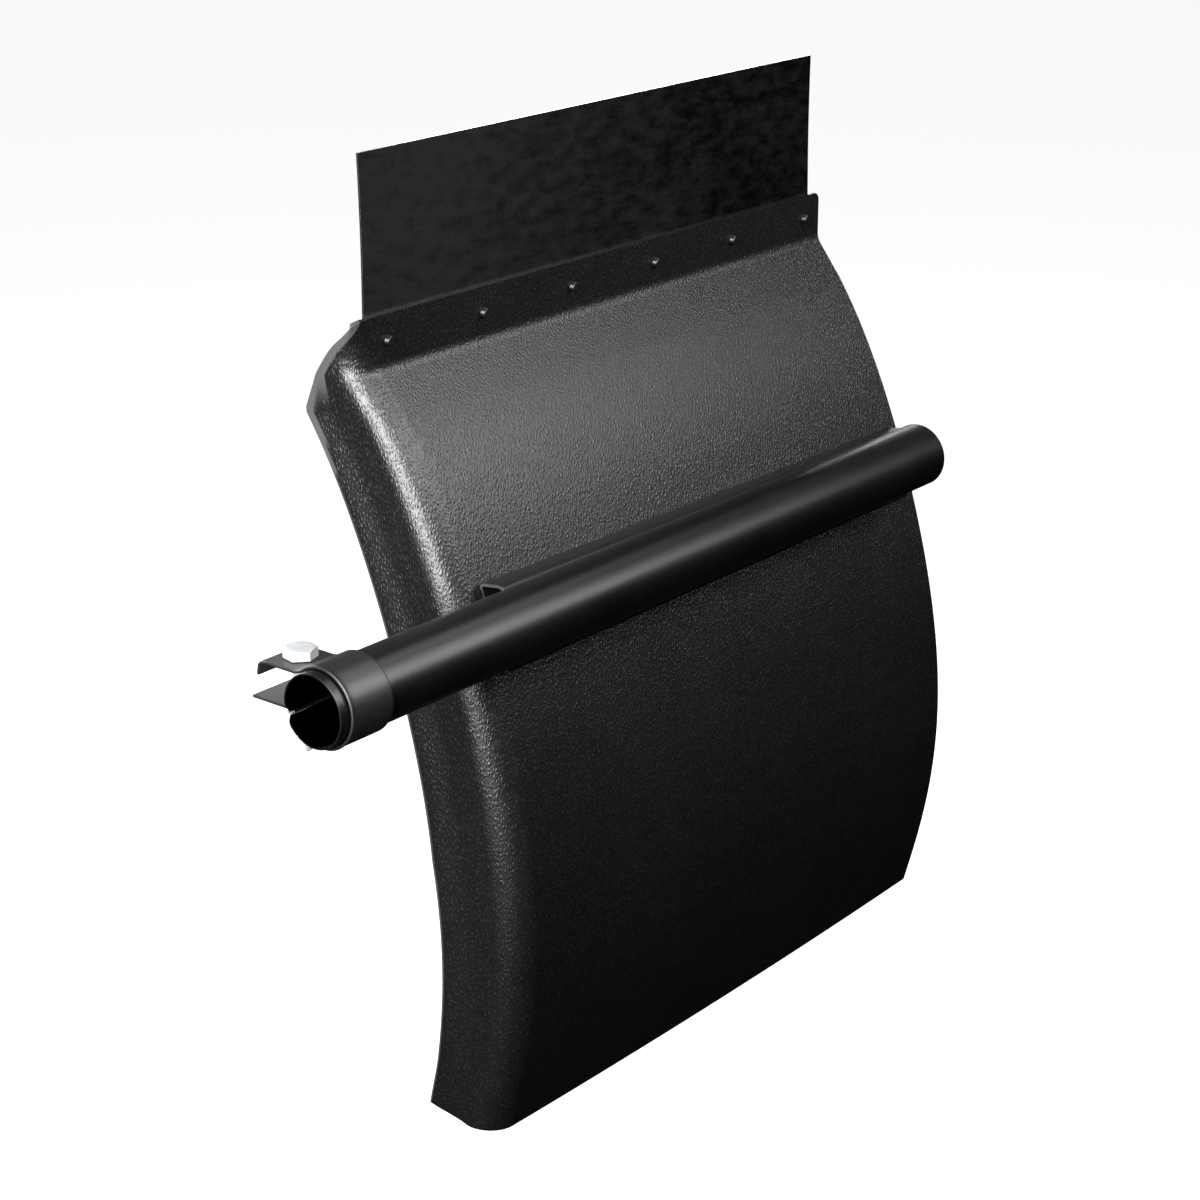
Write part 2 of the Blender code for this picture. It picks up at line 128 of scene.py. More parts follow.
def make_floor():
    bm = bmesh.new()
    bmesh.ops.create_grid(bm, x_segments=1, y_segments=1, size=30.0)
    bmesh.ops.translate(bm, vec=(0.5, 0.0, cad_box[0].z - FLOOR_DROP), verts=bm.verts)
    mesh = bpy.data.meshes.new("floor")
    bm.to_mesh(mesh)
    bm.free()
    floor = bpy.data.objects.new("floor", mesh)
    scene.collection.objects.link(floor)
    floor.visible_diffuse = False
    floor.visible_glossy = False
    paint = bpy.data.materials.new("pale_floor")
    paint.use_nodes = True
    shader = paint.node_tree.nodes["Principled BSDF"]
    shader.inputs["Base Color"].default_value = (0.30, 0.30, 0.30, 1.0)
    shader.inputs["Roughness"].default_value = 0.9
    shader.inputs["Emission Color"].default_value = (1.0, 1.0, 1.0, 1.0)
    shader.inputs["Emission Strength"].default_value = 0.93
    mesh.materials.append(paint)


def soft_box(name, place, aim, size, power):
    """A large rectangular lamp at place, facing aim."""
    lamp = bpy.data.lights.new(name, "AREA")
    lamp.shape = "RECTANGLE"
    lamp.size, lamp.size_y = size
    lamp.energy = power
    box = bpy.data.objects.new(name, lamp)
    scene.collection.objects.link(box)
    box.location = place
    box.rotation_mode = "QUATERNION"
    box.rotation_quaternion = (Vector(aim) - Vector(place)).to_track_quat("-Z", "Y")


make_floor()
soft_box("key_box", (1.53, -1.48, 1.30), (0.3, 0.1, 0.0), (1.0, 1.3), 44.0)
soft_box("front_box", (-0.25, -1.80, 1.64), (0.2, 0.1, 0.0), (2.2, 0.6), 72.0)
soft_box("left_box", (-1.50, -0.25, 0.72), (0.2, 0.1, 0.0), (1.0, 1.2), 140.0)
soft_box("low_box", (-1.25, 0.00, 0.03), (0.2, 0.05, -0.12), (0.35, 0.35), 15.0)
soft_box("right_box", (1.30, -0.25, 1.75), (0.2, 0.0, 0.0), (0.8, 0.9), 8.0)
soft_box("back_box", (1.9, 1.25, 0.95), (0.3, 0.0, 0.0), (0.7, 0.6), 26.0)
soft_box("rear_box", (0.30, 2.00, 0.60), (0.4, 0.1, -0.1), (1.6, 1.2), 60.0)

# %% [markdown]
# ## Writing materials as sums
# A pattern is a chain of nodes, and arithmetic is the longest part of the chain.  The class
# below wraps one socket, so that `0.4 + 0.1 * grain` adds its own Math nodes.  Every other node
# comes from `node`, which sets the node up first and then fills its sockets.

# %% Wires
class Wire:
    """One value in a material: arithmetic adds Math nodes, node() adds any other node."""

    def __init__(self, tree, socket=None):
        self.tree = tree
        self.socket = socket

    def node(self, kind, sockets=None, settings=None, out=0):
        made = self.tree.nodes.new("ShaderNode" + kind)
        for key, value in (settings or {}).items():
            setattr(made, key, value)
        for key, value in (sockets or {}).items():
            if isinstance(value, Wire):
                self.tree.links.new(value.socket, made.inputs[key])
            else:
                made.inputs[key].default_value = value
        return Wire(self.tree, made.outputs[out])

    def maths(self, operation, *values):
        return self.node("Math", dict(enumerate(values)), {"operation": operation})

    def __add__(self, other):
        return self.maths("ADD", self, other)

    def __radd__(self, other):
        return self.maths("ADD", other, self)

    def __sub__(self, other):
        return self.maths("SUBTRACT", self, other)

    def __rsub__(self, other):
        return self.maths("SUBTRACT", other, self)

    def __mul__(self, other):
        return self.maths("MULTIPLY", self, other)

    def __rmul__(self, other):
        return self.maths("MULTIPLY", other, self)


def noise(place, scale, detail=2.0, roughness=0.5):
    return place.node("TexNoise", {"Vector": place, "Scale": scale, "Detail": detail,
                                   "Roughness": roughness})


def noise_vector(place, scale):
    return place.node("TexNoise", {"Vector": place, "Scale": scale, "Detail": 1.0}, out="Color")


def step(value, low, high):
    """0 below low, 1 above high, smooth between."""
    return value.node("MapRange", {"Value": value, "From Min": low, "From Max": high},
                      {"interpolation_type": "SMOOTHSTEP"})


def blend_colour(share, low, high):
    """low where share is 0, high where it is 1; each is a colour or a Wire that carries one."""
    low, high = (c if isinstance(c, Wire) else (*c, 1.0) for c in (low, high))
    return share.node("Mix", {0: share, 6: low, 7: high}, {"data_type": "RGBA"}, out=2)


def material(name, metallic, build, **constants):
    """build(place) returns the linked inputs; constants are set on the shader's own sockets."""
    made = bpy.data.materials.new(name)
    made.use_nodes = True
    tree = made.node_tree
    shader = tree.nodes["Principled BSDF"]
    shader.inputs["Metallic"].default_value = metallic
    for key, value in constants.items():
        shader.inputs[key.replace("_", " ")].default_value = value
    place = Wire(tree).node("TexCoord", out="Object")
    for key, value in build(place).items():
        tree.links.new(value.socket, shader.inputs[key])
    return made


def bump(height, distance, strength=1.0):
    return height.node("Bump", {"Height": height, "Distance": distance, "Strength": strength})


print("shader maths ready")

# %% [markdown]
# ## Finishes
# The panel's face carries the leather grain of its mould: small cells with soft valleys between
# them.  A Voronoi pattern's distance to its cell edges makes the valleys, and noise breaks them
# up.  The grain stops where the moulding was trimmed, and that strip along the wall's back edge
# is painted a lighter grey, a painted highlight: the panel's mesh carries an attribute that says
# how near each point is to that line.  The flap is smooth sheet with a faint mottle of dust, and
# it is painted lighter towards its left end, which is painted light.  Powder coat has a fine
# orange peel, and zinc plate has a soft cloudiness.  The tube's bore is painted black as painted
# shade, and the top of the channel's sheared end is painted lighter, partly bare steel and partly
# a painted highlight.  A picture would give the same grain, but it would have to be wrapped round
# the panel without a seam, which a pattern in space never needs.

# %% Finishes
GRAIN_CELL = 0.0025
GRAIN_DEPTH = 0.00019
GRAIN_LEAN = math.radians(-32.0)
# Painted highlight: the lighter grey of the panel's trimmed strip along the wall's back edge.
TRIM_STRIP_HIGHLIGHT = (0.046, 0.047, 0.049)
# Painted shade: the black of the tube's bore.
BORE_PAINTED_SHADE = (0.0004, 0.0004, 0.0004)
# Partly bare steel, partly a painted highlight: the top of the channel's sheared end.
BARE_STEEL_AND_HIGHLIGHT = (0.030, 0.030, 0.030)
TUBE_LOW, TUBE_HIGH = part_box("mounting_tube")
TUBE_R = (TUBE_HIGH.z - TUBE_LOW.z) / 2
TUBE_WALL = 0.0022
CHANNEL_LOW, CHANNEL_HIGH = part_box("bracket_channel")
FLAP_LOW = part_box("flap_root")[0]
FLAP_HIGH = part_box("flap_blade")[1]


def grained_plastic(place):
    drawn = place.node("Mapping", {"Vector": place, "Rotation": (0.0, GRAIN_LEAN, 0.0),
                                   "Scale": (1.0, 1.0, 0.55)})
    wander = drawn.node("VectorMath", {0: noise_vector(drawn, 420.0), "Scale": 0.0016},
                        {"operation": "SCALE"})
    warp = drawn.node("VectorMath", {0: drawn, 1: wander}, {"operation": "ADD"})
    cells = warp.node("TexVoronoi", {"Vector": warp, "Scale": 1.0 / GRAIN_CELL},
                      {"feature": "DISTANCE_TO_EDGE"}, out="Distance")
    pebble = step(cells, 0.02, 0.42)
    fine = noise(drawn, 900.0, 1.0)
    broad = noise(place, 9.0, 3.0)
    patches = noise(place, 90.0, 4.0, 0.7)
    # The trimmed strip along the wall's back edge: the grain stops there, and the strip is painted
    # lighter, a painted highlight.
    trim_and_highlight = step(place.node("Attribute", settings={"attribute_name": "trim_and_highlight_edge"}, out="Fac"), 0.0, 1.0)
    height = (pebble + 0.5 * fine) * (1.0 - trim_and_highlight)
    shade = step(pebble * 0.40 + fine * 0.60, 0.40, 0.76)
    face = blend_colour(shade, (0.0018, 0.0018, 0.0018), (0.0068, 0.0069, 0.0071))
    return {"Base Color": blend_colour(trim_and_highlight, face, TRIM_STRIP_HIGHLIGHT),
            "Roughness": 0.29 + 0.08 * broad + 0.08 * patches,
            "Normal": bump(height, GRAIN_DEPTH)}


def flap_sheet(place):
    drawn = place.node("Mapping", {"Vector": place, "Scale": (0.45, 1.0, 1.0)})
    mottle = noise(drawn, 92.0, 5.0, 0.70)
    clouds = noise(place, 6.0, 2.0)
    fine = noise(place, 420.0, 2.0)
    across = place.node("SeparateXYZ", {0: place})
    # Painted light: the colour is painted lighter towards the flap's left end; the same ramp also makes
    # that end a little rougher.
    painted_light_ramp = step(across, FLAP_HIGH.x, FLAP_LOW.x)
    # Mottle and clouds are dust; the left-end ramp mixed in is painted light.
    patches = step(mottle * 0.55 + clouds * 0.25 + painted_light_ramp * 0.20, 0.32, 0.66)
    return {"Base Color": blend_colour(patches, (0.0003, 0.0003, 0.0003), (0.0085, 0.0085, 0.0085)),
            "Roughness": 0.18 + 0.08 * mottle + 0.06 * painted_light_ramp,
            "Normal": bump(mottle * 0.7 + fine * 0.3, 0.00014, 0.5)}


def powder_coat(dark, light, rough):
    """Returns the build function of a coat between two shades."""
    def build(place):
        peel = noise(place, 520.0, 2.0)
        clouds = noise(place, 16.0, 3.0)
        specks = step(noise(place, 900.0, 1.0), 0.60, 0.72)
        return {"Base Color": blend_colour(clouds * 0.5 + specks * 0.5, dark, light),
                "Roughness": rough + 0.08 * clouds + 0.08 * specks,
                "Normal": bump(peel, 0.00006, 0.6)}
    return build


def tube_coat(place):
    """The same coat outside; the bore is painted shade: black, with no sheen, for the shadow inside the
    tube.
    """
    inputs = powder_coat((0.0004, 0.0004, 0.0004), (0.0030, 0.0030, 0.0032), 0.30)(place)
    across = place.node("VectorMath", {0: place, 1: (0.0, 1.0, 1.0)}, {"operation": "MULTIPLY"})
    radius = across.node("VectorMath", {0: across}, {"operation": "LENGTH"}, out="Value")
    # Inside the wall the colour is painted shade: black metal that reflects nothing.
    outside_not_bore_shade = step(radius, TUBE_R - TUBE_WALL * 0.9, TUBE_R - TUBE_WALL * 0.3)
    inputs["Base Color"] = blend_colour(outside_not_bore_shade, BORE_PAINTED_SHADE, inputs["Base Color"])
    inputs["Metallic"] = 1.0 - outside_not_bore_shade
    return inputs


def channel_coat(place):
    """Sheared face at the channel's low end, painted lighter only along its top: partly bare steel,
    partly a painted highlight.
    """
    inputs = powder_coat((0.0022, 0.0022, 0.0023), (0.0070, 0.0070, 0.0072), 0.32)(place)
    along = place.node("SeparateXYZ", {0: place})
    up = place.node("SeparateXYZ", {0: place}, out="Z")
    # The lighter top of the sheared end is partly bare steel, partly a painted highlight.
    bare_and_highlight = step(along, CHANNEL_LOW.x + 0.0007, CHANNEL_LOW.x + 0.0002) * step(up, 0.0085, 0.0115)
    inputs["Base Color"] = blend_colour(bare_and_highlight, inputs["Base Color"], BARE_STEEL_AND_HIGHLIGHT)
    return inputs


def zinc_plate(place):
    clouds = noise(place, 210.0, 3.0)
    lines = noise(place.node("Mapping", {"Vector": place, "Scale": (300.0, 300.0, 2600.0)}), 1.0)
    return {"Base Color": blend_colour(clouds, (0.30, 0.31, 0.32), (0.50, 0.51, 0.52)),
            "Roughness": 0.30 + 0.18 * clouds,
            "Normal": bump(clouds + 0.3 * lines, 0.00008, 0.5)}


def nylon(place):
    fine = noise(place, 700.0, 2.0)
    return {"Base Color": blend_colour(fine, (0.0015, 0.0015, 0.0015), (0.0040, 0.0040, 0.0040)),
            "Roughness": 0.28 + 0.12 * fine,
            "Normal": bump(fine, 0.00004, 0.4)}


PLASTIC = material("grained_black_plastic", 0.0, grained_plastic, IOR=1.48)
SHEET = material("black_flap_sheet", 0.0, flap_sheet, IOR=1.45)
TUBE_COAT = material("tube_powder_coat", 0.0, tube_coat, IOR=1.42)
CHANNEL_COAT = material("channel_powder_coat", 0.0, channel_coat, IOR=1.5)
BAND_COAT = material("band_powder_coat", 0.0,
                     powder_coat((0.0030, 0.0030, 0.0031), (0.0130, 0.0130, 0.0134), 0.35), IOR=1.5)
ZINC = material("bright_zinc", 0.45, zinc_plate)
NYLON = material("black_nylon", 0.0, nylon, IOR=1.5)
print("materials", [m.name for m in (PLASTIC, SHEET, TUBE_COAT, CHANNEL_COAT, BAND_COAT, ZINC, NYLON)])

# %% [markdown]
# ## From a bmesh to a piece
# Every piece ends the same way: doubles merged, normals turned out, shaded smooth except at real
# corners, then given its wall and a small round on its edges by modifiers.  `piece` does this
# once, hangs the piece on the empty of the body it rides on, and hides the plain solids it stands for.
# Normals come before the wall, because the Solidify modifier grows the wall against them.  An
# open sheet has no inside, so it also says which way its outer face looks.
#
# Every sheet here starts as a flat grid.  `sheet_grid` hands each point's column and row to a
# function that places it, so one function describes the whole sheet.

# %% Finish a piece
MERGE = 1e-6


def piece(name, bm, look, body, stands_for, wall=0.0, edge=0.0, corner=40.0, facing=None):
    """facing(point) is for an open sheet: the way that its outer face looks at that point."""
    bmesh.ops.remove_doubles(bm, verts=bm.verts, dist=MERGE)
    bmesh.ops.recalc_face_normals(bm, faces=bm.faces)
    if facing:
        agree = sum(facing(f.calc_center_median()).dot(f.normal) * f.calc_area() for f in bm.faces)
        if agree < 0:
            bmesh.ops.reverse_faces(bm, faces=bm.faces)
    mesh = bpy.data.meshes.new(name)
    bm.to_mesh(mesh)
    bm.free()
    mesh.shade_smooth()
    mesh.set_sharp_from_angle(angle=math.radians(corner))
    mesh.materials.append(look)
    obj = bpy.data.objects.new(name, mesh)
    scene.collection.objects.link(obj)
    if wall:
        shell = obj.modifiers.new("wall", "SOLIDIFY")
        shell.thickness = wall
        shell.offset = -1.0
        shell.use_even_offset = True
    if edge:
        rounding = obj.modifiers.new("edge", "BEVEL")
        rounding.width = edge
        rounding.segments = 2
        rounding.limit_method = "ANGLE"
        rounding.angle_limit = math.radians(corner)
        rounding.harden_normals = True
    if body:
        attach(obj, body)
    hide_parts(*stands_for)
    return obj


def sheet_grid(columns, rows, point, trim_and_highlight_edge=None):
    """A grid whose points go to point(column, row); trim_and_highlight_edge(column, row) fills the attribute."""
    bm = bmesh.new()
    layer = bm.verts.layers.float.new("trim_and_highlight_edge") if trim_and_highlight_edge else None
    bmesh.ops.create_grid(bm, x_segments=columns - 1, y_segments=rows - 1, size=1.0)
    for vert in bm.verts:
        column = round((vert.co.x + 1) / 2 * (columns - 1))
        row = round((vert.co.y + 1) / 2 * (rows - 1))
        vert.co = point(column, row)
        if trim_and_highlight_edge:
            vert[layer] = trim_and_highlight_edge(column, row)
    return bm


def to_the_front(point):
    return Vector((0.0, -1.0, 0.0))


def from_the_tube(point):
    return Vector((0.0, point.y, point.z))


print("piece and sheet_grid are ready")

# %% [markdown]
# ## Curves in profile
# Bent sheet and moulded plastic are drawn the same way: a chain of straight runs with a radius
# at each corner.  `filleted` turns such a chain into points.  Blender's own bevel could round
# the corners afterwards, but here the points also carry the panel's rows.

# %% Profiles
def filleted(chain, steps=8):
    """Round the corners of a chain of (y, z, radius)."""
    path = [Vector(chain[0][:2])]
    for before, here, after in zip(chain, chain[1:], chain[2:]):
        corner = Vector(here[:2])
        back = (Vector(before[:2]) - corner).normalized()
        on = (Vector(after[:2]) - corner).normalized()
        half = math.acos(max(-1.0, min(1.0, back.dot(on)))) / 2
        if here[2] <= 0 or abs(half - math.pi / 2) < 1e-4:
            path.append(corner)
            continue
        reach = here[2] / math.tan(half)
        middle = corner + (back + on).normalized() * here[2] / math.sin(half)
        spoke = corner + back * reach - middle
        turn = spoke.angle_signed(corner + on * reach - middle)
        for i in range(steps + 1):
            path.append(middle + Matrix.Rotation(-turn * i / steps, 2) @ spoke)
    path.append(Vector(chain[-1][:2]))
    return path


def ease(t):
    t = max(0.0, min(1.0, t))
    return t * t * (3 - 2 * t)


PANEL_LOW, PANEL_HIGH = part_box("fender_panel")
PANEL_T = 0.0040
FLANGE_Y = 0.1476
CREASE_Z = 0.1665
CREASE_R = 0.016
SWEEP = (-0.0035, 0.0141, 0.1548, -0.0372, -0.0699, 0.0735)
SWEEP_MID = -0.250
SWEEP_HALF = 0.400


def sweep_y(z):
    """Front face of the panel at a height: a barrel curve wrapped round the tyre."""
    u = (z - SWEEP_MID) / SWEEP_HALF
    return sum(c * u**k for k, c in enumerate(SWEEP))


print("panel bulges forward most near z", min(range(-45, 14), key=lambda c: sweep_y(c / 100)) / 100)

# %% [markdown]
# ## The curved panel
# On the real fender one sheet of plastic is drawn over a mould: an upright flange along the
# top, a long barrel curve, a plain edge on one side and a rounded corner into a deep wall on the
# other.  It could be cut from a block with booleans, but a flat grid bent to shape keeps the
# even rows of quads that a smooth highlight needs.  Each row of the grid is one level of the
# panel seen from above, and a Solidify modifier gives it its wall.

# %% Panel
CROWN = 0.0044
WALL_DEPTH = 0.0855
WALL_DEPTH_LOW = 0.0675
WALL_TOP_Y = 0.2045
WALL_TOP_Z = 0.1415
WALL_TOP_POWER = 1.3
WALL_LEAST = 0.0065
WALL_FLARE = 0.0030
FLANGE_CORNER = 0.0072
CORNER_R = 0.027
CORNER_DROP = 0.006
TAPER_FROM = -0.220
CROWN_FROM = -0.062
RIM_WIDTH = 0.008
ACROSS, ROUND, ALONG = 56, 22, 18
FLANGE_ROWS, BEND_ROWS, BODY_ROWS = 22, 14, 130


def panel_rows():
    """(y, z) of each row, from the flange's top edge down; rows crowd together at the top."""
    top = PANEL_HIGH.z
    below = CREASE_Z - 0.030
    path = filleted([(FLANGE_Y, top, 0), (FLANGE_Y, CREASE_Z + 0.003, CREASE_R),
                     (sweep_y(below), below, 0)], BEND_ROWS)
    rows = [(FLANGE_Y, top + (path[1].y - top) * (i / FLANGE_ROWS) ** 1.6) for i in range(FLANGE_ROWS)]
    rows += [(p.x, p.y) for p in path[1:-1]]
    heights = [below + (PANEL_LOW.z - below) * i / BODY_ROWS for i in range(BODY_ROWS + 1)]
    return rows + [(sweep_y(z), z) for z in heights]


def wall_rear(y, z):
    """How far back the side wall reaches at a row; it narrows at the foot and under the flange."""
    low = max(0.0, (TAPER_FROM - z) / (TAPER_FROM - PANEL_LOW.z))
    rear = y + WALL_DEPTH + (WALL_DEPTH_LOW - WALL_DEPTH) * low
    if z > WALL_TOP_Z:
        t = min(1.0, (z - WALL_TOP_Z) / (PANEL_HIGH.z - WALL_TOP_Z))
        least = FLANGE_Y + WALL_LEAST
        rear = least + (WALL_TOP_Y - least) * (1 - t**WALL_TOP_POWER)
    return max(min(rear, WALL_TOP_Y), y + WALL_LEAST)


def panel_level(y, z):
    """One row of the panel from its plain edge, round the corner, to the wall's back edge."""
    rear = wall_rear(y, z)
    deep = min(CORNER_R, 0.80 * (rear - y))
    crown = CROWN * ease((CROWN_FROM - z) / (CROWN_FROM - PANEL_LOW.z))
    over = min(FLANGE_CORNER, max(0.0, z - (PANEL_HIGH.z - FLANGE_CORNER)))
    x0 = PANEL_LOW.x
    x1 = PANEL_HIGH.x - FLANGE_CORNER + math.sqrt(FLANGE_CORNER**2 - over**2)
    points = []
    for i in range(ACROSS + 1):
        t = i / ACROSS
        bow = crown * (1 - (2 * t - 1) ** 2)
        points.append(Vector((x1 - (x1 - x0 - CORNER_R) * t, y - bow, z)))
    drop = CORNER_DROP * ease((z - PANEL_HIGH.z) / 0.030 + 1)
    rise = 0.0095 * ease((PANEL_LOW.z - z) / 0.060 + 1)
    inset = WALL_FLARE * ease((0.190 - z) / 0.080)
    for i in range(1, ROUND + 1):
        a = math.pi / 2 * i / ROUND
        back = deep * (1 - math.cos(a))
        low = z - drop * (1 - math.cos(a))
        points.append(Vector((x0 + CORNER_R - (CORNER_R - inset) * math.sin(a), y + back, low)))
    for i in range(1, ALONG + 1):
        t = i / ALONG
        back = deep + (rear - y - deep) * t
        flare = inset * (1 - ease(1 - (rear - y - back) / 0.034))
        points.append(Vector((x0 + flare, y + back, z - drop + rise * t)))
    return points


def make_panel():
    levels = [panel_level(y, z) for y, z in reversed(panel_rows())]

    def point(column, row):
        return levels[row][column]

    # How near a point is to the wall's back edge, in a strip that is widest at the top: no grain there,
    # and painted lighter as a painted highlight.
    def trim_and_highlight_edge(column, row):
        here, back = levels[row][column], levels[row][-1]
        rim = RIM_WIDTH * ease((here.z - 0.060) / 0.080) + 0.0005
        return ease((rim - (back - here).length) / 0.0012 + 1)

    bm = sheet_grid(len(levels[0]), len(levels), point, trim_and_highlight_edge)
    return piece("panel", bm, PLASTIC, "carrier", ["fender_panel"],
                 wall=PANEL_T, edge=0.0006, corner=50.0, facing=to_the_front)


panel = make_panel()
print("panel grid", len(panel.data.vertices), "points")

# %% [markdown]
# ## The top flap
# A thin firm sheet stands behind the flange and leans on the rivets, one sheet in place of the
# model's two plates.  A sheet like this never hangs quite true: its middle bows a little and its
# loose edge is very slightly curved.

# %% Flap
FOLD = Vector(JOINTS["flap_flex"]["pos_m"])
FLAP_T = FLAP_HIGH.y - FLAP_LOW.y


def make_flap():
    columns, rows = 61, 73

    def point(column, row):
        u = column / (columns - 1)
        z = FLAP_LOW.z + (FLAP_HIGH.z - FLAP_LOW.z) * row / (rows - 1)
        free = max(0.0, (z - FOLD.z) / (FLAP_HIGH.z - FOLD.z))
        belly = 0.0011 * math.sin(math.pi * u) * free + 0.0005 * math.sin(7.0 * u + 2.0) * free
        edge = 0.0010 * math.sin(math.pi * free) * (1 - 2 * u)
        x = FLAP_LOW.x + (FLAP_HIGH.x - FLAP_LOW.x) * u + edge
        return Vector((x, FLAP_LOW.y + belly, z))

    flap = piece("top_flap", sheet_grid(columns, rows, point), SHEET, None,
                 ["flap_root", "flap_blade"],
                 wall=FLAP_T, edge=0.0003, corner=50.0, facing=to_the_front)
    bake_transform(flap)


make_flap()
print("flap is", round(FLAP_HIGH.x - FLAP_LOW.x, 3), "m wide and", round(FLAP_T * 1000, 1), "mm thick")

# %% [markdown]
# ## Turned and six-sided pieces
# Bolts, nuts, washers and rivets are all stacks of rings.  A ring starts as a circle, and each
# next one is an extrusion of the last ring's edges moved to its own radius and height.  Full
# spins of a profile would serve for the round ones, but a hexagon's chamfer needs each point of
# a ring to have its own height, which a ring stack allows.

# %% Ring stacks
def ring_stack(rings, sides=32, phase=0.0):
    """rings are functions of an angle that give (radius, height); closed at both ends.
    Rings that come back to the first one leave a hole through the middle."""
    bm = bmesh.new()
    bmesh.ops.create_circle(bm, segments=sides, radius=1.0)
    loop = list(bm.verts)
    spokes = [math.atan2(v.co.y, v.co.x) for v in loop]
    bands = [loop]
    for _ in rings[1:]:
        edges = [e for e in bm.edges if all(v in set(bands[-1]) for v in e.verts)]
        made = bmesh.ops.extrude_edge_only(bm, edges=edges)["geom"]
        fresh = [g for g in made if isinstance(g, bmesh.types.BMVert)]
        fresh.sort(key=lambda v: min(range(sides), key=lambda i: (v.co - bands[-1][i].co).length))
        bands.append(fresh)
        for vert, a in zip(fresh, spokes):
            vert.co = (2 * math.cos(a), 2 * math.sin(a), len(bands))
    for band, ring in zip(bands, rings):
        for vert, a in zip(band, spokes):
            radius, height = ring(a)
            vert.co = (radius * math.cos(a + phase), radius * math.sin(a + phase), height)
    open_ends = [e for e in bm.edges if e.is_boundary]
    first, last = rings[0](0.0), rings[-1](0.0)
    if (Vector(first) - Vector(last)).length > 1e-7:
        bmesh.ops.edgeloop_fill(bm, edges=open_ends)
    return bm


def disc(radius, height):
    return lambda a: (radius, height)


def hexagon(flats, height, round_off=0.0, cap=0.0):
    """Six-sided ring; round_off lowers its points towards the corners, as a chamfer does."""
    def ring(a):
        radius = flats / 2 / math.cos((a % (math.pi / 3)) - math.pi / 6)
        slope = round_off * max(0.0, radius - flats * 0.49)
        return radius, height + cap * slope
    return ring


def stand(bm, at, tilt=0.0, lie=False):
    """Move a stack built along Z to its place; lie turns it to point along Y first."""
    if lie:
        bmesh.ops.rotate(bm, matrix=Matrix.Rotation(-math.pi / 2, 3, "X"), verts=bm.verts)
    if tilt:
        bmesh.ops.rotate(bm, matrix=Matrix.Rotation(tilt, 3, "X"), verts=bm.verts)
    bmesh.ops.translate(bm, vec=at, verts=bm.verts)
    return bm


print("ring stacks ready")

# %% [markdown]
# ## Push rivets
# Six nylon rivets hold the flap to the flange.  Pushed in from behind, each has a flat domed
# head at the back and a ribbed tail that shows as a short stub in front.  The tail's ribs are
# only rings, which is how such a rivet is moulded.

# %% Rivets
def make_rivets():
    made = []
    for i in range(1, 7):
        low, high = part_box(f"push_rivet_{i}")
        at = ((low.x + high.x) / 2, 0.0, (low.z + high.z) / 2)
        grip = FLANGE_Y - 0.0001
        back = FLAP_HIGH.y + 0.0002
        profile = [(0.0014, low.y + 0.0001), (0.0030, low.y), (0.0036, low.y + 0.0006),
                   (0.0040, low.y + 0.0013), (0.0040, low.y + 0.0020), (0.0035, low.y + 0.0024),
                   (0.0040, low.y + 0.0030), (0.0040, grip), (0.0031, grip), (0.0031, back),
                   (0.0080, back), (0.0082, back + 0.0005), (0.0078, back + 0.0011),
                   (0.0064, back + 0.0018), (0.0040, back + 0.0023), (0.0015, back + 0.0024)]
        bm = ring_stack([disc(r, y) for r, y in profile], 24)
        made.append(piece(f"rivet_{i}", stand(bm, at, lie=True), NYLON, "carrier",
                          [f"push_rivet_{i}"], corner=48.0))
    return made


rivets = make_rivets()
print("rivets", len(rivets))

# %% [markdown]
# ## The mounting tube
# A length of round steel tube runs along the panel's front.  Its open end is slit lengthwise
# at the back so that the clamp can squeeze it, and the slit's lips are drawn in a little.  The
# tube is a flat grid rolled up: where the slit is, the grid's two long edges stay apart, and
# past it they meet and are merged.  A boolean cut would make the slit too, but not its lips.

# %% Tube
SLIT_ANGLE = math.radians(-17.0)
SLIT_LENGTH = 0.052
SLIT_WIDTH = 0.0020
LIP_CURL = 0.0042


def tube_stations():
    """Distances along the tube, close together where the slit and its end are."""
    near = [SLIT_LENGTH * i / 26 for i in range(27)]
    end = [SLIT_LENGTH + 0.0025 * i / 5 for i in range(1, 6)]
    far = [end[-1] + (TUBE_HIGH.x - end[-1]) * i / 40 for i in range(1, 41)]
    return near + end + far


def make_tube():
    stations = tube_stations()
    columns = 145

    def point(column, row):
        u = column / (columns - 1)
        x = stations[row]
        past = max(0.0, x - SLIT_LENGTH + 0.0008)
        gap = SLIT_WIDTH / TUBE_R * math.sqrt(max(0.0, 1 - (past / 0.0026) ** 2))
        lip = min(u, 1 - u) * 2 * math.pi * TUBE_R
        curl = LIP_CURL * math.exp(-(lip / 0.0042) ** 2) * ease((0.040 - x) / 0.034)
        radius = TUBE_R - curl
        a = SLIT_ANGLE + gap / 2 + (2 * math.pi - gap) * u
        return Vector((x, radius * math.cos(a), radius * math.sin(a)))

    piece("arm_tube", sheet_grid(columns, len(stations), point), TUBE_COAT, "carrier",
          ["mounting_tube"],
          wall=TUBE_WALL, edge=0.0005, corner=50.0, facing=from_the_tube)


make_tube()
print("tube is", round(TUBE_HIGH.x, 3), "m long and", round(TUBE_R * 2000, 1), "mm across")

# %% [markdown]
# ## The channel
# Bent sheet steel joins the tube to the panel: an upright web behind the tube, a top that
# rises a little towards the front, and a foot turned down against the panel.  It is one strip
# drawn in section and pulled along the tube.  The section's two ends are not quite alike, because
# the top falls slightly along its length.

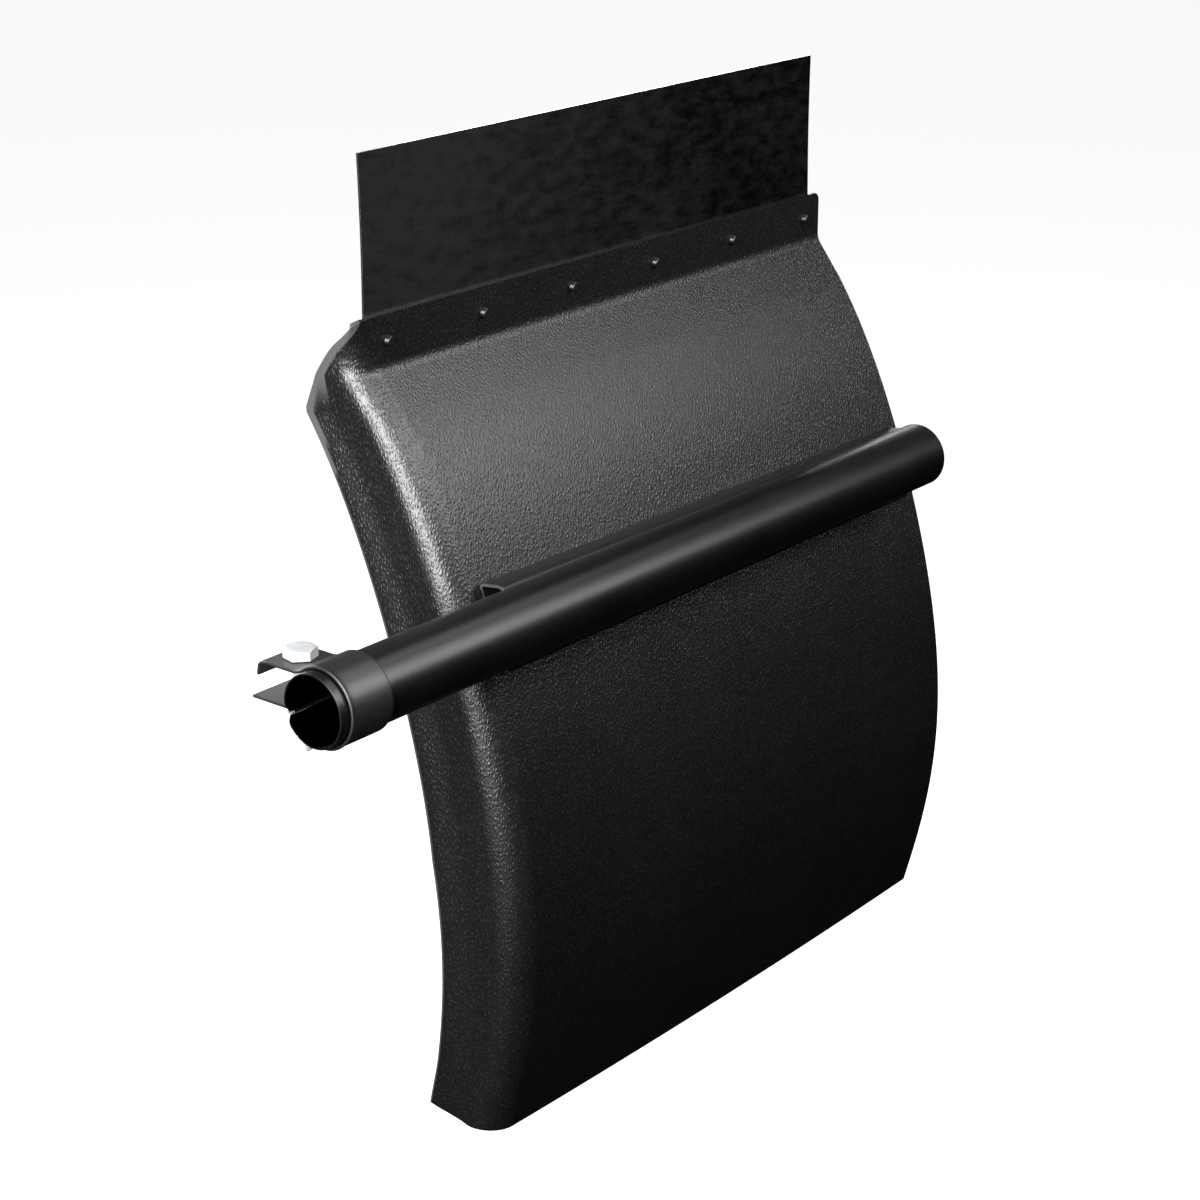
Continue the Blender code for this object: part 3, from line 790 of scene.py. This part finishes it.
# %% Channel
CHANNEL_T = 0.0025
CHANNEL_TOP = 0.0142
CHANNEL_FALL = 0.0058
CHANNEL_CANT = 0.0040
BOLT_Z = -0.0020
FOOT_LOW = -0.0140
PANEL_SLOPE = math.atan((sweep_y(BOLT_Z + 0.002) - sweep_y(BOLT_Z - 0.002)) / 0.004)


def channel_section(top):
    """Outer face of the sheet from the foot, over the top and down the web to the heel."""
    face = CHANNEL_LOW.y
    bottom = CHANNEL_LOW.z
    return filleted([(sweep_y(FOOT_LOW) - 0.0005, FOOT_LOW, 0), (sweep_y(top) - 0.0005, top, 0.0040),
                     (face, top + CHANNEL_CANT, 0.0095), (face, bottom, 0.0034),
                     (sweep_y(bottom) - 0.0006, bottom, 0)])


def make_channel():
    lengthwise = 24
    sections = []
    for i in range(lengthwise + 1):
        t = i / lengthwise
        x = CHANNEL_LOW.x + (CHANNEL_HIGH.x - CHANNEL_LOW.x) * t
        outline = channel_section(CHANNEL_TOP - CHANNEL_FALL * t)
        sections.append([Vector((x, p.x, p.y)) for p in outline])

    bm = sheet_grid(len(sections[0]), len(sections), lambda column, row: sections[row][column])
    piece("channel", bm, CHANNEL_COAT, "carrier", ["bracket_channel"],
          wall=CHANNEL_T, edge=0.0004, corner=50.0, facing=to_the_front)


make_channel()
print("channel is", round(CHANNEL_HIGH.x - CHANNEL_LOW.x, 3), "m long")

# %% [markdown]
# ## Panel fixings
# The foot of the channel is bolted to the panel from the tyre's side: a low round head on a wide
# washer in front of the tyre, and a nut inside the channel.  They sit square to the panel's
# slope, so each stack is built along Y, tilted and then moved.

# %% Panel fixings
WASHER_T = 0.0016
NUT_H = 0.0054


def make_panel_fixings():
    y = sweep_y(BOLT_Z)
    washer = PANEL_T + 0.0003
    head = washer + WASHER_T + 0.0001
    nut = -(CHANNEL_T + 0.0009)
    for i in range(1, 6):
        low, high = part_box(f"panel_bolt_{i}")
        at = ((low.x + high.x) / 2, y, BOLT_Z)
        bolt = [(0.0024, nut - NUT_H - 0.0018), (0.0032, nut - NUT_H - 0.0010), (0.0032, head),
                (0.0070, head), (0.0072, head + 0.0005), (0.0070, head + 0.0012),
                (0.0060, head + 0.0024), (0.0044, head + 0.0032), (0.0021, head + 0.0036)]
        dish = [(0.0035, washer), (0.0106, washer), (0.0110, washer + 0.0003),
                (0.0110, washer + 0.0011), (0.0104, washer + 0.0014), (0.0060, washer + WASHER_T),
                (0.0035, washer + WASHER_T), (0.0035, washer)]
        hexes = [disc(0.0034, nut), disc(0.0050, nut), hexagon(0.0111, nut, 0.6, -1.0),
                 hexagon(0.0111, nut - NUT_H, 0.6, 1.0), disc(0.0050, nut - NUT_H),
                 disc(0.0034, nut - NUT_H), disc(0.0034, nut)]
        parts = (("bolt", [disc(*p) for p in bolt], 24), ("washer", [disc(*p) for p in dish], 32),
                 ("nut", hexes, 36))
        for word, rings, sides in parts:
            bm = stand(ring_stack(rings, sides), at, tilt=-PANEL_SLOPE, lie=True)
            piece(f"fixing_{word}_{i}", bm, ZINC, "carrier", [f"panel_{word}_{i}"],
                  corner=40.0)


make_panel_fixings()
print("panel fixings tilt", round(math.degrees(PANEL_SLOPE), 1), "degrees")

# %% [markdown]
# ## The clamp band
# A strip of sheet is wrapped round the slit end of the tube and its two ends stick out as ears:
# the lower one flat, the upper one with a lip turned down at its tip.  The strip is drawn in
# section and pulled along the tube in a few steps, so that its open rim can flare away from the
# tube and its far rim can close onto it.

# %% Clamp band
BAND_LOW, BAND_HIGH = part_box("clamp_band")
BAND_T = 0.0024
BAND_R = TUBE_R + 0.0003 + BAND_T
LOWER_EAR = -0.0083 - BAND_T / 2
UPPER_EAR = 0.0206 + BAND_T / 2
UPPER_FLAT = 0.0530
UPPER_DIP = 0.0015
UPPER_TIP = 0.0605 + BAND_T / 2
UPPER_LIP = 0.0098
HOOP_START, HOOP_END = 56, 336
RIM_FLARE = 0.026
RIM_CLOSE = 0.010


def band_arc(degrees):
    a = math.radians(degrees)
    return Vector((BAND_R * math.cos(a), BAND_R * math.sin(a)))


def bend(a, b, c, steps=8):
    """Points of a curve from a to c that is pulled towards b."""
    shares = [i / steps for i in range(steps + 1)]
    return [a * (1 - t) ** 2 + b * 2 * t * (1 - t) + c * t * t for t in shares]


def band_section():
    """Outer face of the strip as (y, z) points, and 1 or 0 for each: on the round part or not."""
    corner = math.sqrt(BAND_R**2 - UPPER_EAR**2)
    lip = filleted([(UPPER_TIP + 0.002, UPPER_LIP, 0), (UPPER_TIP, UPPER_EAR - UPPER_DIP, 0.0052),
                    (UPPER_FLAT, UPPER_EAR, 0.008), (corner + 0.0070, UPPER_EAR, 0)])
    dip = bend(lip.pop(), Vector((corner, UPPER_EAR)), band_arc(HOOP_START))
    hoop = [band_arc(HOOP_START + (HOOP_END - HOOP_START) * i / 84) for i in range(1, 84)]
    corner = Vector((math.sqrt(BAND_R**2 - LOWER_EAR**2), LOWER_EAR))
    root = bend(band_arc(HOOP_END), corner, corner + Vector((0.0016, 0.0)))
    ear = [corner + Vector((BAND_HIGH.y - corner.x, 0.0)) * t for t in (0.1, 0.4, 0.7, 1.0)]
    points = lip + dip + hoop + root + ear
    round_part = [0.0] * len(lip) + [1.0] * (len(dip) + len(hoop) + len(root)) + [0.0] * len(ear)
    return points, round_part


def make_band():
    points, round_part = band_section()
    steps = [0.0, 0.0012, 0.0026, 0.0045, 0.010, 0.020, 0.030, 0.0365, 0.0390, 0.0405, 0.0415]

    def point(column, row):
        p = points[column]
        near = max(0.0, 1 - steps[row] / 0.0050)
        far = max(0.0, 1 - (steps[-1] - steps[row]) / 0.0040)
        below = ease((0.020 - p.x) / 0.030)
        reach = 1 + round_part[column] * below * (RIM_FLARE * near * near - RIM_CLOSE * far * far)
        return Vector((BAND_LOW.x + steps[row], p.x * reach, p.y * reach))

    piece("band", sheet_grid(len(points), len(steps), point), BAND_COAT, "clamp",
          ["clamp_band"],
          wall=BAND_T, edge=0.0009, corner=50.0, facing=from_the_tube)


make_band()
print("band is", round((BAND_HIGH.x - BAND_LOW.x) * 1000, 1), "mm wide")

# %% [markdown]
# ## Clamp bolt, washers and nut
# A half-inch hex bolt stands through the ears with its head on top.  Its thread is a real helix: a
# grid rolled round the shank whose rows climb one pitch in a turn, so the two long edges meet
# one turn apart.  At the ends the rows are pressed flat onto the shank's end rings.

# %% Clamp bolt
BOLT_LOW, BOLT_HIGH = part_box("clamp_bolt")
BOLT_AT = Vector(JOINTS["nut_spin"]["pos_m"])
BOLT_R = 0.00635
PITCH = 0.001954
THREAD_DEPTH = 0.0011
HEAD_FLATS = 0.0220
HEAD_SEAT = UPPER_EAR + 0.0001
HEX_TURN = math.radians(18.0)
NUT_TURN = math.radians(22.0)
CHAMFER = 0.58


def make_thread(low, high, start, end):
    """Threaded rod between two heights; the thread fades out near start and end."""
    turns = math.ceil((high - low) / PITCH) + 1
    per_turn, around = 6, 28

    def point(column, row):
        u = column / around
        climb = row / per_turn - 1
        crest = abs(2 * (climb % 1.0) - 1) ** 1.2
        held = min(max(low + (climb + u) * PITCH, low), high)
        ends = min(1.0, max(0.0, held - start) / 0.0012) * min(1.0, max(0.0, end - held) / 0.0012)
        lead = 0.0009 * (1 - min(1.0, (held - low) / 0.0014))
        radius = BOLT_R - THREAD_DEPTH * (1 - crest) * ends - lead
        a = 2 * math.pi * u
        return Vector((radius * math.cos(a), radius * math.sin(a), held))

    bm = sheet_grid(around + 1, turns * per_turn + 1, point)
    bmesh.ops.remove_doubles(bm, verts=bm.verts, dist=2 * MERGE)
    bmesh.ops.edgeloop_fill(bm, edges=[e for e in bm.edges if e.is_boundary])
    return bm


def make_clamp_bolt():
    seat, top = HEAD_SEAT, BOLT_HIGH.z
    head = ring_stack([disc(0.0100, seat), disc(0.0105, seat + 0.0004),
                       hexagon(HEAD_FLATS, seat + 0.0006), hexagon(HEAD_FLATS, top, CHAMFER, -1.0),
                       disc(HEAD_FLATS * 0.475, top), disc(HEAD_FLATS * 0.30, top - 0.0001)],
                      48, HEX_TURN)
    rod = make_thread(BOLT_LOW.z, seat + 0.001, BOLT_LOW.z, 0.012)
    between = bpy.data.meshes.new("rod")
    rod.to_mesh(between)
    rod.free()
    head.from_mesh(between)
    bpy.data.meshes.remove(between)
    at = Vector((BOLT_AT.x, BOLT_AT.y, 0.0))
    piece("hex_bolt", stand(head, at), ZINC, "clamp", ["clamp_bolt"], corner=32.0)


make_clamp_bolt()
print("bolt thread", round(BOLT_R * 2000, 1), "mm, pitch", PITCH * 1000, "mm")

# %% [markdown]
# ## Washers and nut
# Under the lower ear come a flat washer, a lock washer and the nut.  The lock washer is one
# coil of square wire cut through at an angle, which is a square face spun a little short of a
# full turn while it climbs.  The other two are ring stacks that end on their first ring, so
# their holes stay open.  The nut rides on its own body and turns as it goes down the thread.

# %% Washers and nut
CLEARANCE = 0.0005


def make_flat_washer():
    low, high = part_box("clamp_flat_washer")
    outer, inner = (high.x - low.x) / 2, BOLT_R + CLEARANCE
    rings = [disc(inner, low.z), disc(outer - 0.0003, low.z), disc(outer, low.z + 0.0004),
             disc(outer, high.z - 0.0006), disc(outer - 0.0006, high.z), disc(inner, high.z),
             disc(inner, low.z)]
    bm = stand(ring_stack(rings, 48), (BOLT_AT.x, BOLT_AT.y, 0.0))
    return piece("flat_washer", bm, ZINC, "washers", ["clamp_flat_washer"], corner=35.0)


def make_lock_washer():
    low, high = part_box("clamp_lock_washer")
    outer, inner = (high.x - low.x) / 2, BOLT_R + CLEARANCE
    thick = 0.0032
    rise = high.z - low.z - thick
    bm = bmesh.new()
    corners = [(inner, high.z - thick), (outer, high.z - thick), (outer, high.z), (inner, high.z)]
    face = bm.faces.new([bm.verts.new((r, 0.0, z)) for r, z in corners])
    turn, steps = math.radians(348), 40
    bmesh.ops.spin(bm, geom=[face] + list(face.edges) + list(face.verts), cent=(0, 0, 0), axis=(0, 0, 1),
                   angle=turn, steps=steps, dvec=(0, 0, -rise / steps), use_merge=False)
    bmesh.ops.rotate(bm, matrix=Matrix.Rotation(math.radians(100), 3, "Z"), verts=bm.verts)
    stand(bm, (BOLT_AT.x, BOLT_AT.y, 0.0))
    return piece("lock_washer", bm, ZINC, "washers", ["clamp_lock_washer"], edge=0.0002,
                 corner=35.0)


def make_clamp_nut():
    low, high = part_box("clamp_nut")
    bore = BOLT_R + 0.0002
    rings = [disc(bore, low.z + 0.0006), disc(bore + 0.0007, low.z), disc(HEAD_FLATS * 0.475, low.z),
             hexagon(HEAD_FLATS, low.z, CHAMFER, 1.0), hexagon(HEAD_FLATS, high.z, CHAMFER, -1.0),
             disc(HEAD_FLATS * 0.475, high.z), disc(bore + 0.0007, high.z),
             disc(bore, high.z - 0.0006), disc(bore, low.z + 0.0006)]
    bm = stand(ring_stack(rings, 48, NUT_TURN), (BOLT_AT.x, BOLT_AT.y, 0.0))
    return piece("hex_nut", bm, ZINC, "nut", ["clamp_nut"], corner=32.0)


for made in (make_flat_washer(), make_lock_washer(), make_clamp_nut()):
    print(made.name, len(made.data.vertices), "points")
